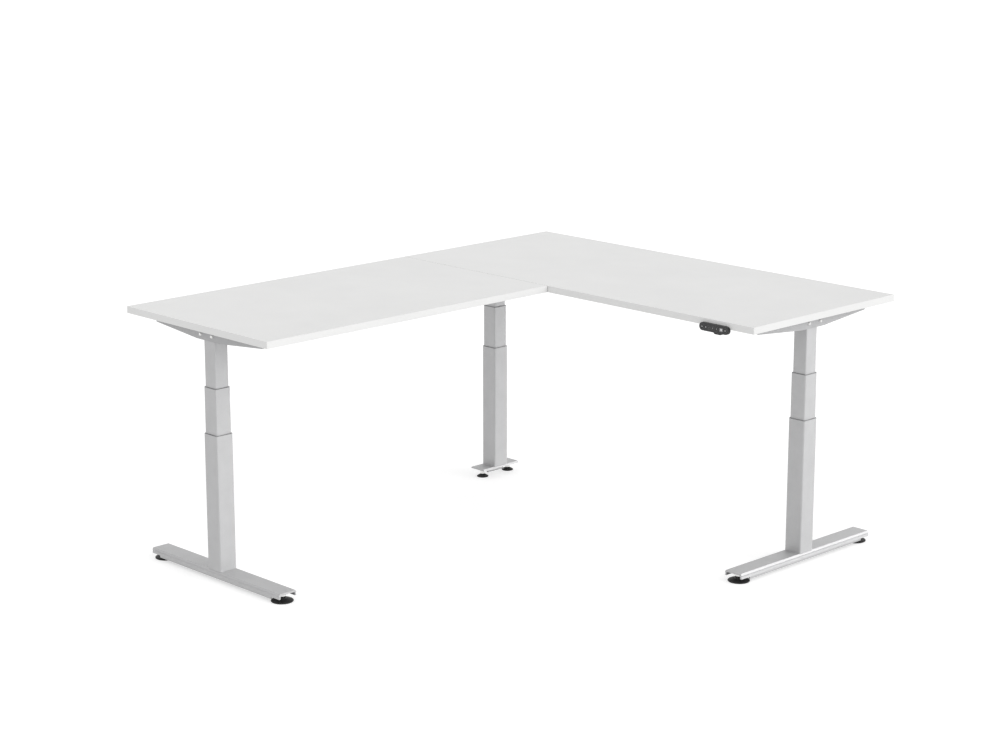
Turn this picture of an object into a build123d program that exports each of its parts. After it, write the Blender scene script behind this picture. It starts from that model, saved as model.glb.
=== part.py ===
from build123d import *
import os

# An L-shaped electric sit-stand desk: a main worktop and an extension worktop that meet edge to edge,
# carried by three telescopic lifting columns. Two columns stand on T-feet and the one in the corner
# stands on a small plate, because the main worktop's knee space runs past it.
#
# Frame: +Z up, floor at Z = 0, origin under the centre of the L's outer rectangle. The main worktop
# runs along X at the +Y side. The extension runs along Y at the -X side. The user sits in the open
# quarter at +X, -Y. All sizes are millimetres, and the desk stands at its mid working height.

# ---------------------------------------------------------------- worktops
main_length = 1800.0
extension_length = 1340.0
worktop_depth = 800.0
worktop_thickness = 25.0
desk_height = 940.0
edge_band_thickness = 2.0
edge_band_round = 0.8
worktop_corner_radius = 2.5
seam_gap = 0.6

# ---------------------------------------------------------------- where the legs stand
leg_end_inset = 66.0          # leg centre line to the worktop's end
leg_back_inset = 432.0        # leg centre to the worktop's back edge
corner_leg_inset = 137.0      # corner leg's centre to the main worktop's corner end

# ---------------------------------------------------------------- lifting column
column_size = 73.0            # outer tube, across its flats
tube_wall = 2.0
slide_gap = 1.5               # between one tube's inside and the next tube's outside
outer_tube_radius = 6.0
middle_tube_radius = 5.0
inner_tube_radius = 4.5
outer_tube_top = 540.0
tube_head_gap = 1.5           # inner tube's top to the bracket's sheet above it
closed_reveal = 23.0          # what shows of each stage when the desk is right down
full_reveal = 348.0           # what shows of each stage when it is right up
closed_clearance = 5.0        # left between a stage's lower end and what lies below it when right down

# ---------------------------------------------------------------- plastic guides between the tubes
guide_height = 40.0
guide_rim = 1.5
guide_rim_inset = 0.4
guide_fit = 0.05
running_gap = 0.1

# ---------------------------------------------------------------- drive inside the column
middle_plate_thickness = 5.0
base_plate_thickness = 8.0
lift_screw_diameter = 16.0
lift_screw_bore = 10.5
lift_screw_flange = 30.0
lift_screw_flange_thickness = 6.0
lift_screw_spare = 12.0       # lift screw's tip past the hollow screw's thread when right up
hollow_screw_diameter = 24.0
hollow_screw_bore = 17.5
hollow_screw_spare = 4.5      # hollow screw's top to the gearbox when right down
hollow_screw_flange = 36.0
hollow_screw_flange_thickness = 8.0
hollow_screw_thread_length = 25.0
hex_socket_depth = 20.0
hex_across_flats = 8.0
hex_rod_spare = 10.5          # drive rod's tip past the hollow screw's socket when right up
hex_rod_engagement = 10.0
lift_nut_height = 30.0
motor_diameter = 42.0
motor_length = 81.0
gearbox_diameter = 46.0
gearbox_length = 30.0
motor_head_short = 31.0       # head block's reach from the column's axis on its short side
motor_head_long = 54.0        # and on its long side
motor_head_clearance = 1.0
motor_head_radius = 3.0
motor_coupling_bore = 12.0

# ---------------------------------------------------------------- brackets and rails under the worktops
bracket_length = 600.0
bracket_width = 66.0
bracket_depth = 38.0
bracket_tip_depth = 16.0
bracket_flat = 128.0
bracket_sheet = 2.5
bracket_bend = 2.0
rail_width = 25.0
rail_depth = 32.0
rail_wall = 2.0
rail_offset = 74.0            # rail's centre line to the leg's centre
rail_flange_width = 44.0
rail_flange_thickness = 3.0
join_plate_length = 160.0
join_plate_width = 60.0
join_plate_thickness = 3.0
join_plate_radius = 5.0
join_plate_screws = (0.25, 0.36)    # screw places, as shares of the plate's width and length
join_plate_inset = (240.0, 680.0)   # plate centres from the worktop's corner end

# ---------------------------------------------------------------- feet and glides
foot_length = 735.0
corner_foot_length = 198.0
foot_top = 40.0
foot_flat = 68.0              # flat width of the top plate
foot_width = 78.0             # across the lower edges of its two sloping shoulders
foot_shoulder = 7.0           # what the shoulders drop
foot_height = 28.0
foot_groove = (2.2, 3.5)      # depth and height of the groove under each shoulder
foot_swell = (0.4, 13.0)      # how far the web's widest line lies inside the shoulder, and how far below it
foot_web_inset = 1.5          # web's lower edge, inside the shoulder
foot_web_top = 8.0            # web thickness under the top plate
foot_web_bottom = 4.0         # and at its lower edge
foot_notch = (46.0, 8.0)      # length and height cut from the webs over each glide
corner_rib = (88.0, 8.0)      # length and thickness of the rib under the corner foot's plate
glide_end_inset = 31.0        # glide's centre to the end of the T-foot
corner_glide_end_inset = 28.0
glide_edge = 1.0              # bevel on the disc's lower edge
glide_crown = (1.5, 1.0)      # width and height of the step inside its rim
glide_shoulder = 0.75         # height of the disc halfway to its hub, as a share of the dome
glide_diameter = 80.0
glide_rim = 4.0
glide_dome = 9.0
glide_hub_diameter = 26.0
glide_hub_top = 17.5
corner_glide_diameter = 48.0
corner_glide_rim = 3.0
corner_glide_dome = 9.5
corner_glide_hub_diameter = 14.0
corner_glide_hub_top = 11.5
glide_stud_diameter = 8.0
glide_stud_gap = 0.1
glide_stud_cover = 2.5        # what the foot's top plate keeps over the stud's tip, with the glide home
glide_stud_spare = 0.3        # what the stud's hole is deeper than that
glide_home_gap = 0.3          # hub to socket with the glide screwed home
glide_lift = 2.0              # travel from rest to screwed home
corner_glide_lift = 1.5
socket_diameter = 26.0
corner_socket_flats = 17.0

# ---------------------------------------------------------------- fasteners
screw_shank = 4.8
screw_head = 9.0
screw_head_height = 3.0
screw_depth = 17.0
screw_gap = 0.2
bolt_shank = 6.0
bolt_flats = 10.0
bolt_head_height = 4.0
foot_bolt_offset = 23.0
foot_bolt_reach = 7.0
column_bolt_places = (-22.0, 42.0)
column_bolt_drop = 19.0       # below the worktop's underside
column_bolt_depth = 12.0
rail_bolt_drop = 16.0
rail_bolt_offset = 17.5
rail_bolt_shank = 5.0
rail_bolt_flats = 8.0
rail_bolt_head_height = 3.0
bracket_screw_places = (-275.0, -180.0, 180.0, 275.0)

# ---------------------------------------------------------------- control box under the main worktop
box_length = 250.0
box_width = 110.0
box_height = 36.0
box_radius = 6.0
box_bevel = 2.0
box_screw_spread = 1 / 3      # screw places from the cover's middle, as a share of its width
box_back_inset = 190.0
box_cover_thickness = 2.0
box_cover_ear = 16.0
box_socket_count = 4
box_socket_size = (15.0, 12.0)
box_socket_pitch = 24.0
box_socket_depth = 9.0
box_socket_first = 50.0
inlet_size = (31.0, 24.0)
inlet_depth = 16.0
inlet_wall = 2.0
inlet_end_inset = 30.0
inlet_pin = (2.0, 12.0, 4.0)  # one contact blade's thickness, length and height
inlet_pin_pitch = 7.0

# ---------------------------------------------------------------- handset at the main worktop's front edge
handset_end_inset = 172.0     # handset's centre to the main worktop's free end
handset_length = 135.0
handset_height = 29.0
handset_drop = 3.5            # handset's middle line below the worktop's underside
handset_face_thickness = 1.2
handset_shell_depth = 10.5
handset_edge_gap = 0.3
handset_face_bevel = 0.5
handset_rim = 2.0
handset_body_length = 80.0
handset_body_depth = 28.0
handset_body_height = 16.0
handset_body_radius = 4.0
handset_lobe_width = 36.0
handset_lobe_height = 6.0
handset_lobe_depth = 14.0
handset_lobe_offset = 14.0
handset_lobe_setback = 3.5
handset_screw_spread = 54.0
arrow_key_diameter = 15.0
memory_key_size = (13.0, 13.0)
memory_key_radius = 3.0
memory_key_places = (-21.0, -4.0, 13.0)
key_bevel = 0.3
key_gap = 0.2
key_flange = 0.8
key_flange_thickness = 1.0
key_length = 3.6
key_proud = 0.6
key_travel = 1.0
key_switch_gap = 0.1          # left between a key and its switch plate when it is pressed home
display_size = (14.0, 12.0)
display_place = 34.0
status_light_diameter = 2.6
status_light_place = -36.0

# ---------------------------------------------------------------- worked out from the sizes above
half_x = main_length / 2
half_y = (worktop_depth + extension_length) / 2
seam_y = half_y - worktop_depth
underside = desk_height - worktop_thickness
front_x = -half_x + worktop_depth

foot_bottom = foot_top - foot_height
middle_size = column_size - 2 * (tube_wall + slide_gap)
inner_size = middle_size - 2 * (tube_wall + slide_gap)

bracket_bottom = underside - bracket_depth
reveal = (bracket_bottom - outer_tube_top) / 2
stage_down = reveal - closed_reveal      # each stage's travel down from the height modelled
stage_up = full_reveal - reveal          # and up from it
lift_screw_seat = foot_top + base_plate_thickness
lift_screw_seat_top = lift_screw_seat + lift_screw_flange_thickness
middle_tube_top = outer_tube_top + reveal
middle_tube_bottom = lift_screw_seat_top + guide_rim + closed_clearance + stage_down
middle_plate_top = middle_tube_bottom + middle_plate_thickness
hollow_flange_bottom = middle_plate_top + running_gap
hollow_flange_top = hollow_flange_bottom + hollow_screw_flange_thickness
inner_tube_top = bracket_bottom + bracket_sheet + tube_head_gap
inner_tube_bottom = hollow_flange_top + guide_rim + closed_clearance + stage_down
gearbox_bottom = inner_tube_top - motor_length - gearbox_length
hollow_screw_top = gearbox_bottom - hollow_screw_spare - stage_down
hex_rod_bottom = hollow_screw_top - hex_socket_depth - stage_up - hex_rod_spare
lift_screw_tip = middle_tube_bottom + hollow_screw_thread_length + stage_up + lift_screw_spare

handset_level = underside - handset_drop
handset_body_top = underside - handset_edge_gap
handset_pocket_depth = key_length - key_proud - handset_face_thickness + key_travel + key_switch_gap

# Each leg: centre, and turn about Z from the leg's own frame, where the foot lies along X and the user is
# at its -X end.
LEGS = {
    "right": (half_x - leg_end_inset, half_y - leg_back_inset, 90),
    "left": (-half_x + leg_back_inset, -half_y + leg_end_inset, 180),
    "corner": (-half_x + corner_leg_inset, half_y - leg_back_inset, 90),
}
T_LEGS = ("right", "left")
RAIL_SIDE = {"right": 1, "left": -1, "corner": -1}    # which way along its own Y a leg's rails run


def place(leg, shape):
    """Moves a shape from a leg's own frame, with the foot along X, to where that leg stands."""
    x, y, turn = LEGS[leg]
    return Location((x, y, 0), (0, 0, turn)) * shape


def rod(radius, bottom, top, x=0.0, y=0.0):
    """An upright cylinder between two heights."""
    return Pos(x, y, bottom) * Cylinder(radius, top - bottom, align=(Align.CENTER, Align.CENTER, Align.MIN))


def rod_along_y(radius, start, end, x, z):
    """A level cylinder from one Y to another."""
    return Pos(x, (start + end) / 2, z) * Rot(90, 0, 0) * Cylinder(radius, abs(end - start))


def rod_along_x(radius, start, end, y, z):
    """A level cylinder from one X to another."""
    return Pos((start + end) / 2, y, z) * Rot(0, 90, 0) * Cylinder(radius, abs(end - start))


def block(x0, x1, y0, y1, z0, z1):
    """A box between two corners."""
    return Pos((x0 + x1) / 2, (y0 + y1) / 2, (z0 + z1) / 2) * Box(abs(x1 - x0), abs(y1 - y0), abs(z1 - z0))


def slab(outline, bottom, top):
    """A flat outline raised between two heights."""
    return Pos(0, 0, bottom) * extrude(outline, top - bottom)


def hex_outline(across_flats):
    return RegularPolygon(across_flats / 2, 6, major_radius=False)


# ================================================================ worktops

def worktop_core(length, depth):
    """A melamine-faced board without its edge bands, centred on the origin."""
    return Pos(0, 0, underside + worktop_thickness / 2) * Box(
        length - 2 * edge_band_thickness, depth - 2 * edge_band_thickness, worktop_thickness
    )


def edge_band(length, depth):
    """The plastic band glued round a board's four edges, with its long arrises rounded."""
    outline = RectangleRounded(length, depth, worktop_corner_radius) - Rectangle(
        length - 2 * edge_band_thickness, depth - 2 * edge_band_thickness
    )
    band = slab(outline, underside, desk_height)
    faces = band.faces().sort_by(Axis.Z)
    return fillet(faces[0].outer_wire().edges() + faces[-1].outer_wire().edges(), edge_band_round)


def worktop_places():
    """Where the two boards lie: name, length along X, depth along Y, centre."""
    short = extension_length - seam_gap
    return {
        "main": (main_length, worktop_depth, 0.0, half_y - worktop_depth / 2),
        "extension": (worktop_depth, short, (front_x - half_x) / 2, seam_y - seam_gap - short / 2),
    }


def wood_screw(x, y, seat):
    """A pan-head chipboard screw, driven up into a worktop, whose head bears on a seat from below."""
    head = rod(screw_head / 2, seat - screw_head_height, seat, x, y)
    return head + rod(screw_shank / 2, seat, underside + screw_depth, x, y)


def leg_frame_point(leg, along, across=0.0):
    """A point in a leg's own frame, as X and Y of the desk."""
    spot = place(leg, Location((along, across, 0))).position
    return spot.X, spot.Y


def join_plate_centres():
    return [(-half_x + inset, seam_y - seam_gap / 2) for inset in join_plate_inset]


def box_centre():
    return 0.0, half_y - box_back_inset - box_width / 2


def handset_centre():
    return half_x - handset_end_inset, seam_y - handset_edge_gap - handset_shell_depth


def screw_places():
    """Every chipboard screw: X, Y and the height of the face its head bears on."""
    spots = []
    for leg in LEGS:
        for along in bracket_screw_places:
            spots.append((*leg_frame_point(leg, along), underside - bracket_sheet))
    for x, y in join_plate_centres():
        for side in (-1, 1):
            for end in (-1, 1):
                spots.append((
                    x + side * join_plate_width * join_plate_screws[0],
                    y + end * join_plate_length * join_plate_screws[1],
                    underside - join_plate_thickness,
                ))
    x, y = box_centre()
    for side in (-1, 1):
        for end in (-1, 1):
            spots.append((
                x + side * (box_length + box_cover_ear) / 2, y + end * box_width * box_screw_spread,
                underside - box_cover_thickness,
            ))
    x, _ = handset_centre()
    for side in (-1, 1):
        spots.append((
            x + side * handset_screw_spread / 2, seam_y + handset_body_depth / 2,
            handset_body_top - handset_body_height,
        ))
    return spots


def build_worktops():
    parts = {}
    holes = [
        rod(screw_shank / 2 + screw_gap, bracket_bottom, underside + screw_depth + screw_gap, x, y)
        for x, y, _ in screw_places()
    ]
    for name, (length, depth, x, y) in worktop_places().items():
        core = Pos(x, y, 0) * worktop_core(length, depth)
        near = [h for h in holes if abs(h.center().X - x) < length / 2 and abs(h.center().Y - y) < depth / 2]
        parts[f"{name}_worktop"] = core - near
        parts[f"{name}_edge_band"] = Pos(x, y, 0) * edge_band(length, depth)
    parts["wood_screws"] = Compound(children=[wood_screw(*spot) for spot in screw_places()])
    plates = []
    for x, y in join_plate_centres():
        plate = Pos(x, y, 0) * slab(
            RectangleRounded(join_plate_width, join_plate_length, join_plate_radius),
            underside - join_plate_thickness, underside,
        )
        plates.append(plate - holes_near(x, y, join_plate_length))
    parts["joining_plates"] = Compound(children=plates)
    return parts


def holes_near(x, y, reach):
    """Clearance holes for the chipboard screws round a spot."""
    return [
        rod(screw_shank / 2 + screw_gap, bracket_bottom, desk_height, sx, sy)
        for sx, sy, _ in screw_places()
        if abs(sx - x) <= reach and abs(sy - y) <= reach
    ]


# ================================================================ brackets, rails and their fasteners

def bracket(leg):
    """A folded sheet channel, open below, deep over the column and tapering to its two tips."""
    half, flat = bracket_length / 2, bracket_flat / 2
    tip, deep = underside - bracket_tip_depth, bracket_bottom
    profile = Polyline(
        (-half, underside), (half, underside), (half, tip), (flat, deep), (-flat, deep), (-half, tip),
        close=True,
    )
    solid = extrude(make_face(Plane.XZ * profile), bracket_width / 2, both=True)
    solid = fillet(solid.faces().sort_by(Axis.Z)[-1].edges().filter_by(Axis.X), bracket_bend)
    solid -= block(
        -half + bracket_sheet, half - bracket_sheet,
        -bracket_width / 2 + bracket_sheet, bracket_width / 2 - bracket_sheet,
        deep, underside - bracket_sheet,
    )
    for along in bracket_screw_places:
        solid -= rod(screw_shank / 2 + screw_gap, deep, underside, along)
    for along in column_bolt_places:
        solid -= rod_along_y(
            bolt_shank / 2 + screw_gap, -bracket_width, bracket_width, along, underside - column_bolt_drop
        )
    for along in rail_bolt_places():
        solid -= rod_along_y(
            rail_bolt_shank / 2 + screw_gap, 0, RAIL_SIDE[leg] * bracket_width, along,
            underside - rail_bolt_drop,
        )
    return solid


def rail_bolt_places():
    """Where the rails' bolts pass a bracket's wall, along it."""
    return [
        rail + bolt
        for rail in (-rail_offset, rail_offset)
        for bolt in (-rail_bolt_offset, rail_bolt_offset)
    ]


def hex_bolt(shank, flats, head_height, reach):
    """A hexagon bolt along +X: its head's seat at X = 0, its shank towards +X."""
    head = extrude(Plane.YZ.offset(-head_height) * hex_outline(flats), head_height)
    return head + rod_along_x(shank / 2, 0, reach, 0, 0)


def column_bolts():
    """The bolts that hold a bracket on its column's head, two from each side."""
    bolt = hex_bolt(bolt_shank, bolt_flats, bolt_head_height, bracket_sheet + column_bolt_depth)
    return [
        Location((along, side * bracket_width / 2, underside - column_bolt_drop), (0, 0, -90 * side)) * bolt
        for along in column_bolt_places
        for side in (-1, 1)
    ]


def rail(length):
    """A rectangular tube along X from 0, with a bolting flange welded on each end."""
    tube = Pos(length / 2, 0, underside - rail_depth / 2) * (
        Box(length, rail_width, rail_depth)
        - Box(length, rail_width - 2 * rail_wall, rail_depth - 2 * rail_wall)
    )
    for start in (0, length - rail_flange_thickness):
        flange = block(
            start, start + rail_flange_thickness, -rail_flange_width / 2, rail_flange_width / 2,
            underside - rail_depth, underside,
        )
        for side in (-1, 1):
            flange -= rod_along_x(
                rail_bolt_shank / 2 + screw_gap, start, start + rail_flange_thickness,
                side * rail_bolt_offset, underside - rail_bolt_drop,
            )
        tube += flange
    return tube


def rail_bolts(length):
    """The bolts of a rail's two flanges, in the rail's own frame."""
    bolt = hex_bolt(
        rail_bolt_shank, rail_bolt_flats, rail_bolt_head_height, rail_flange_thickness + bracket_sheet
    )
    return [
        Location((start, side * rail_bolt_offset, underside - rail_bolt_drop), (0, 0, turn)) * bolt
        for side in (-1, 1)
        for start, turn in ((rail_flange_thickness, 180), (length - rail_flange_thickness, 0))
    ]


def rail_runs():
    """Each rail: its group, start, length and turn about Z."""
    right_x, leg_y, _ = LEGS["right"]
    corner_x, _, _ = LEGS["corner"]
    left_x, left_y, _ = LEGS["left"]
    start_x = corner_x + bracket_width / 2
    main_run = right_x - bracket_width / 2 - start_x
    start_y = left_y + bracket_width / 2
    cross_y = leg_y - rail_offset - rail_width / 2
    runs = []
    for side in (-1, 1):
        runs.append(("main", (start_x, leg_y + side * rail_offset), main_run, 0))
    for side in (-1, 1):
        runs.append(("extension", (left_x + side * rail_offset, start_y), cross_y - start_y, 90))
    return runs


def build_frame():
    parts = {f"{leg}_bracket": place(leg, bracket(leg)) for leg in LEGS}
    bolts = [place(leg, bolt) for leg in LEGS for bolt in column_bolts()]
    groups = {"main": [], "extension": []}
    for group, (x, y), length, turn in rail_runs():
        spot = Location((x, y, 0), (0, 0, turn))
        groups[group].append(spot * rail(length))
        bolts += [spot * bolt for bolt in rail_bolts(length)]
    # The extension rails bolt through the near wall of the main front rail.
    left_x, leg_y = LEGS["left"][0], LEGS["right"][1]
    wall = leg_y - rail_offset - rail_width / 2
    for along in rail_bolt_places():
        groups["main"][0] -= rod_along_y(
            rail_bolt_shank / 2 + screw_gap, wall, wall + rail_width / 2, left_x + along,
            underside - rail_bolt_drop,
        )
    parts["main_rails"] = Compound(children=groups["main"])
    parts["extension_rails"] = Compound(children=groups["extension"])
    parts["frame_bolts"] = Compound(children=bolts)
    return parts


# ================================================================ lifting columns

def tube_outline(size, radius, grow=0.0):
    """A rounded square, grown or shrunk all round."""
    return RectangleRounded(size + 2 * grow, size + 2 * grow, radius + grow)


def column_tube(size, radius, bottom, top):
    return slab(tube_outline(size, radius) - tube_outline(size, radius, -tube_wall), bottom, top)


def collar(size, radius, inner_radius, rim):
    """A guide pressed into a tube's top: a sleeve round the next tube, and a rim over the cut edge."""
    moving = tube_outline(size - 2 * (tube_wall + slide_gap), inner_radius, running_gap)
    sleeve = tube_outline(size, radius, -tube_wall - guide_fit) - moving
    lip = tube_outline(size, radius, -guide_rim_inset) - moving
    return slab(sleeve, rim - guide_height, rim) + slab(lip, rim, rim + guide_rim)


def shoe(size, radius, outer_radius, bottom):
    """A guide on a tube's lower end: a sleeve that runs in the tube outside it, and a ledge below."""
    outside = tube_outline(size + 2 * (tube_wall + slide_gap), outer_radius, -tube_wall - running_gap)
    sleeve = outside - tube_outline(size, radius, guide_fit)
    ledge = outside - tube_outline(size, radius, -tube_wall)
    return slab(sleeve, bottom, bottom + guide_height) + slab(ledge, bottom - guide_rim, bottom)


def outer_tube():
    return column_tube(column_size, outer_tube_radius, foot_top, outer_tube_top - guide_rim)


def base_plate():
    """The plate welded into an outer tube's foot end, tapped for foot bolts along it or across it."""
    plate = slab(
        tube_outline(column_size, outer_tube_radius, -tube_wall - guide_fit), foot_top, lift_screw_seat
    )
    for x, y in foot_bolt_places("right") + foot_bolt_places("corner"):
        plate -= rod(bolt_shank / 2 + screw_gap / 2, foot_top, lift_screw_seat, x, y)
    return plate


def lift_screw():
    """The lower spindle: a hollow screw that stands still on the base plate."""
    body = rod(lift_screw_flange / 2, lift_screw_seat, lift_screw_seat_top)
    body += rod(lift_screw_diameter / 2, lift_screw_seat, lift_screw_tip)
    return body - rod(lift_screw_bore / 2, lift_screw_seat, lift_screw_tip)


def middle_tube():
    """The second stage, with a bearing plate for the hollow screw welded into its lower end."""
    tube = column_tube(middle_size, middle_tube_radius, middle_tube_bottom, middle_tube_top - guide_rim)
    plate = slab(
        tube_outline(middle_size, middle_tube_radius, -tube_wall / 2), middle_tube_bottom, middle_plate_top
    )
    bore = rod(hollow_screw_diameter / 2 + running_gap, middle_tube_bottom, middle_plate_top)
    return tube + plate - bore


def hollow_screw():
    """The turning spindle: it climbs the lift screw, and the lift nut climbs its own outer thread."""
    body = rod(hollow_screw_diameter / 2, middle_tube_bottom, hollow_screw_top)
    body += rod(hollow_screw_flange / 2, hollow_flange_bottom, hollow_flange_top)
    thread_top = middle_tube_bottom + hollow_screw_thread_length
    body -= rod(lift_screw_diameter / 2 + running_gap, middle_tube_bottom, thread_top)
    body -= rod(hollow_screw_bore / 2, thread_top, hollow_screw_top - hex_socket_depth)
    socket_outline = hex_outline(hex_across_flats + 2 * running_gap)
    socket = slab(socket_outline, hollow_screw_top - hex_socket_depth, hollow_screw_top)
    return body - socket


def drive_rod():
    """The hexagon rod that the gearbox turns, and that slides in the hollow screw's socket."""
    return slab(hex_outline(hex_across_flats), hex_rod_bottom, gearbox_bottom + hex_rod_engagement)


def inner_tube():
    return column_tube(inner_size, inner_tube_radius, inner_tube_bottom, inner_tube_top)


def lift_nut():
    """The plastic nut block in the inner tube's lower end."""
    outline = tube_outline(inner_size, inner_tube_radius, -tube_wall - guide_fit)
    body = slab(outline, inner_tube_bottom, inner_tube_bottom + lift_nut_height)
    return body - rod(hollow_screw_diameter / 2 + running_gap, 0, desk_height)


def motor():
    """The drive unit: a head block in the bracket, with the motor and its gearbox hanging in the tube."""
    top = underside - bracket_sheet
    width = bracket_width - 2 * (bracket_sheet + motor_head_clearance)
    head = block(-motor_head_short, motor_head_long, -width / 2, width / 2, inner_tube_top, top)
    head = fillet(head.edges().filter_by(Axis.Z), motor_head_radius)
    body = head + rod(motor_diameter / 2, inner_tube_top - motor_length, inner_tube_top)
    body += rod(gearbox_diameter / 2, gearbox_bottom, inner_tube_top - motor_length)
    body -= rod(
        motor_coupling_bore / 2, gearbox_bottom, gearbox_bottom + hex_rod_engagement + running_gap
    )
    for along in column_bolt_places:
        for side in (-1, 1):
            body -= rod_along_y(
                bolt_shank / 2 + screw_gap / 2, side * (bracket_width / 2),
                side * (bracket_width / 2 - bracket_sheet - column_bolt_depth - screw_gap), along,
                underside - column_bolt_drop,
            )
    return body


def build_columns():
    parts = {}
    middle_guides = [
        collar(middle_size, middle_tube_radius, inner_tube_radius, middle_tube_top - guide_rim),
        shoe(middle_size, middle_tube_radius, outer_tube_radius, middle_tube_bottom),
    ]
    for leg in LEGS:
        parts[f"{leg}_outer_tube"] = place(leg, outer_tube())
        parts[f"{leg}_middle_tube"] = place(leg, middle_tube())
        parts[f"{leg}_middle_guides"] = Compound(children=[place(leg, guide) for guide in middle_guides])
        parts[f"{leg}_hollow_screw"] = place(leg, hollow_screw())
        parts[f"{leg}_drive_rod"] = place(leg, drive_rod())
        parts[f"{leg}_inner_tube"] = place(leg, inner_tube())
        parts[f"{leg}_motor"] = place(leg, motor())
    shared = {
        "outer_guides": collar(
            column_size, outer_tube_radius, middle_tube_radius, outer_tube_top - guide_rim
        ),
        "inner_guides": shoe(inner_size, inner_tube_radius, middle_tube_radius, inner_tube_bottom),
        "base_plates": base_plate(),
        "lift_screws": lift_screw(),
        "lift_nuts": lift_nut(),
    }
    for name, shape in shared.items():
        parts[name] = Compound(children=[place(leg, shape) for leg in LEGS])
    return parts


# ================================================================ feet and glides

def foot_side():
    """One half of the foot's section, from the top plate round the outside of its web to the inside."""
    edge, under = foot_width / 2, foot_top - foot_shoulder
    return [
        (foot_flat / 2, foot_top),
        (edge, under),
        (edge - foot_groove[0], under - foot_groove[1]),
        (edge - foot_swell[0], under - foot_swell[1]),
        (edge - foot_web_inset, foot_bottom),
        (edge - foot_web_inset - foot_web_bottom, foot_bottom),
        (edge - foot_web_top, under),
    ]


def mirrored(half):
    """The face inside one half of an outline and its mirror image."""
    return make_face(Plane.YZ * Polyline(*half, *[(-y, z) for y, z in reversed(half)], close=True))


def t_foot():
    """An extruded rail: a top plate with sloping shoulders on two webs, notched over each glide."""
    notch_length, notch_height = foot_notch
    body = extrude(mirrored(foot_side()), foot_length / 2, both=True)
    for side in (-1, 1):
        body -= block(
            side * (foot_length / 2 - notch_length), side * foot_length / 2, -foot_width / 2, foot_width / 2,
            foot_bottom, foot_bottom + notch_height,
        )
    return body


def corner_foot():
    """A short plate with the same shoulders, stiffened by one rib between its two glides."""
    rib_length, rib_thickness = corner_rib
    body = extrude(mirrored(foot_side()[:2]), corner_foot_length / 2, both=True)
    return body + block(
        -rib_length / 2, rib_length / 2, -rib_thickness / 2, rib_thickness / 2,
        foot_bottom, foot_top - foot_shoulder,
    )


def foot_bolt_places(leg):
    """A T-foot's bolts stand along it, the corner foot's across it, either side of its rib."""
    if leg in T_LEGS:
        return [(-foot_bolt_offset, 0), (foot_bolt_offset, 0)]
    return [(0, -foot_bolt_offset), (0, foot_bolt_offset)]


def foot(leg):
    """A foot with the holes for its bolts and for its glides' studs."""
    body = t_foot() if leg in T_LEGS else corner_foot()
    for x, y in foot_bolt_places(leg):
        body -= rod(bolt_shank / 2 + screw_gap, foot_bottom, foot_top, x, y)
    for side in (-1, 1):
        body -= rod(
            glide_stud_diameter / 2 + glide_stud_gap, foot_bottom,
            foot_top - glide_stud_cover + glide_stud_spare, side * glide_reach(leg),
        )
    return body


def foot_bolt():
    """A hexagon bolt from under the foot's top plate up into the base plate."""
    seat = foot_top - foot_shoulder
    bolt = hex_bolt(bolt_shank, bolt_flats, bolt_head_height, foot_shoulder + foot_bolt_reach)
    return Pos(0, 0, seat) * Rot(0, -90, 0) * bolt


def glide_reach(leg):
    """A glide's distance from its leg's centre, along the foot."""
    if leg in T_LEGS:
        return foot_length / 2 - glide_end_inset
    return corner_foot_length / 2 - corner_glide_end_inset


def glide_socket(leg):
    """The threaded block under the foot's top plate that a glide's stud screws into."""
    top = foot_top - foot_shoulder
    if leg in T_LEGS:
        body = rod(socket_diameter / 2, glide_hub_top + glide_lift + glide_home_gap, top)
    else:
        bottom = corner_glide_hub_top + corner_glide_lift + glide_home_gap
        body = slab(hex_outline(corner_socket_flats), bottom, top)
    return body - rod(glide_stud_diameter / 2 + glide_stud_gap, 0, top)


def glide(leg):
    """A levelling glide: a moulded disc that rests on the floor, its hub and its threaded stud."""
    if leg in T_LEGS:
        radius, rim, dome, hub, hub_top, lift = (
            glide_diameter / 2, glide_rim, glide_dome, glide_hub_diameter / 2, glide_hub_top, glide_lift
        )
    else:
        radius, rim, dome, hub, hub_top, lift = (
            corner_glide_diameter / 2, corner_glide_rim, corner_glide_dome, corner_glide_hub_diameter / 2,
            corner_glide_hub_top, corner_glide_lift,
        )
    inset, rise = glide_crown
    profile = Polyline(
        (0, 0), (radius - glide_edge, 0), (radius, glide_edge), (radius, rim), (radius - inset, rim + rise),
        ((hub + radius) / 2, dome * glide_shoulder), (hub, dome), (hub, hub_top - glide_edge),
        (hub - glide_edge, hub_top), (0, hub_top), close=True,
    )
    disc = revolve(make_face(Plane.XZ * profile), Axis.Z)
    return disc + rod(glide_stud_diameter / 2, dome, foot_top - glide_stud_cover - lift)


def build_feet():
    parts = {f"{leg}_foot": place(leg, foot(leg)) for leg in LEGS}
    bolts, sockets = [], []
    for leg in LEGS:
        bolts += [place(leg, Pos(x, y, 0) * foot_bolt()) for x, y in foot_bolt_places(leg)]
        for end, side in (("front", -1), ("back", 1)):
            spot = Pos(side * glide_reach(leg), 0, 0)
            sockets.append(place(leg, spot * glide_socket(leg)))
            parts[f"{leg}_{end}_glide"] = place(leg, spot * glide(leg))
    parts["foot_bolts"] = Compound(children=bolts)
    parts["glide_sockets"] = Compound(children=sockets)
    return parts


# ================================================================ control box

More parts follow.
